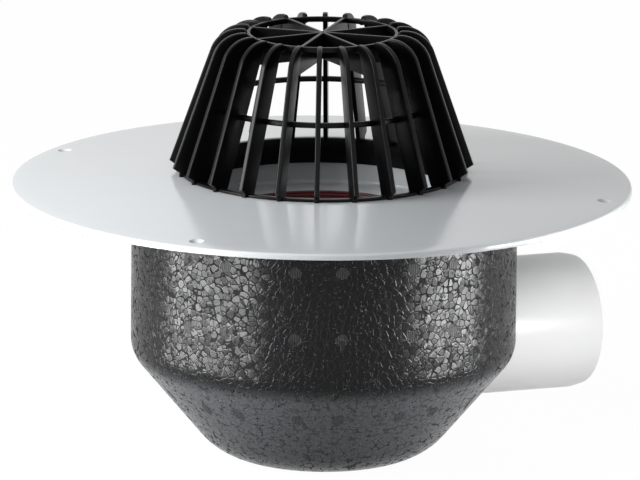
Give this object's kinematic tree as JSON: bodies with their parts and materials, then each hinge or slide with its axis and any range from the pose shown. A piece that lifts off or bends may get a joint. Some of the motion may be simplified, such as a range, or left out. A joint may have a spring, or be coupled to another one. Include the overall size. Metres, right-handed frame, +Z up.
{
  "type": "flat roof drain",
  "caption": "Flat roof drain with a wide dished flange, finned leaf guard, horizontal bend outlet and moulded insulation body.",
  "frame": {"origin": "middle of the insulation body's flat base, on the axis of the flange and pot", "axes": "+Z up along the drain's axis, +X towards the outlet"},
  "size_m": [0.5, 0.5, 0.3504],
  "materials": {
    "black_foam": "moulded bead foam",
    "white_pvc": "semi gloss",
    "pale_pvc": "glossy",
    "red_plastic": "glossy",
    "black_plastic": "satin"
  },
  "bodies": {
    "root": {"insulation_body": "black_foam", "outlet_bend": "white_pvc", "drain_pot": "pale_pvc", "site_cover": "red_plastic", "leaf_guard": "black_plastic"}
  },
  "joints": []
}
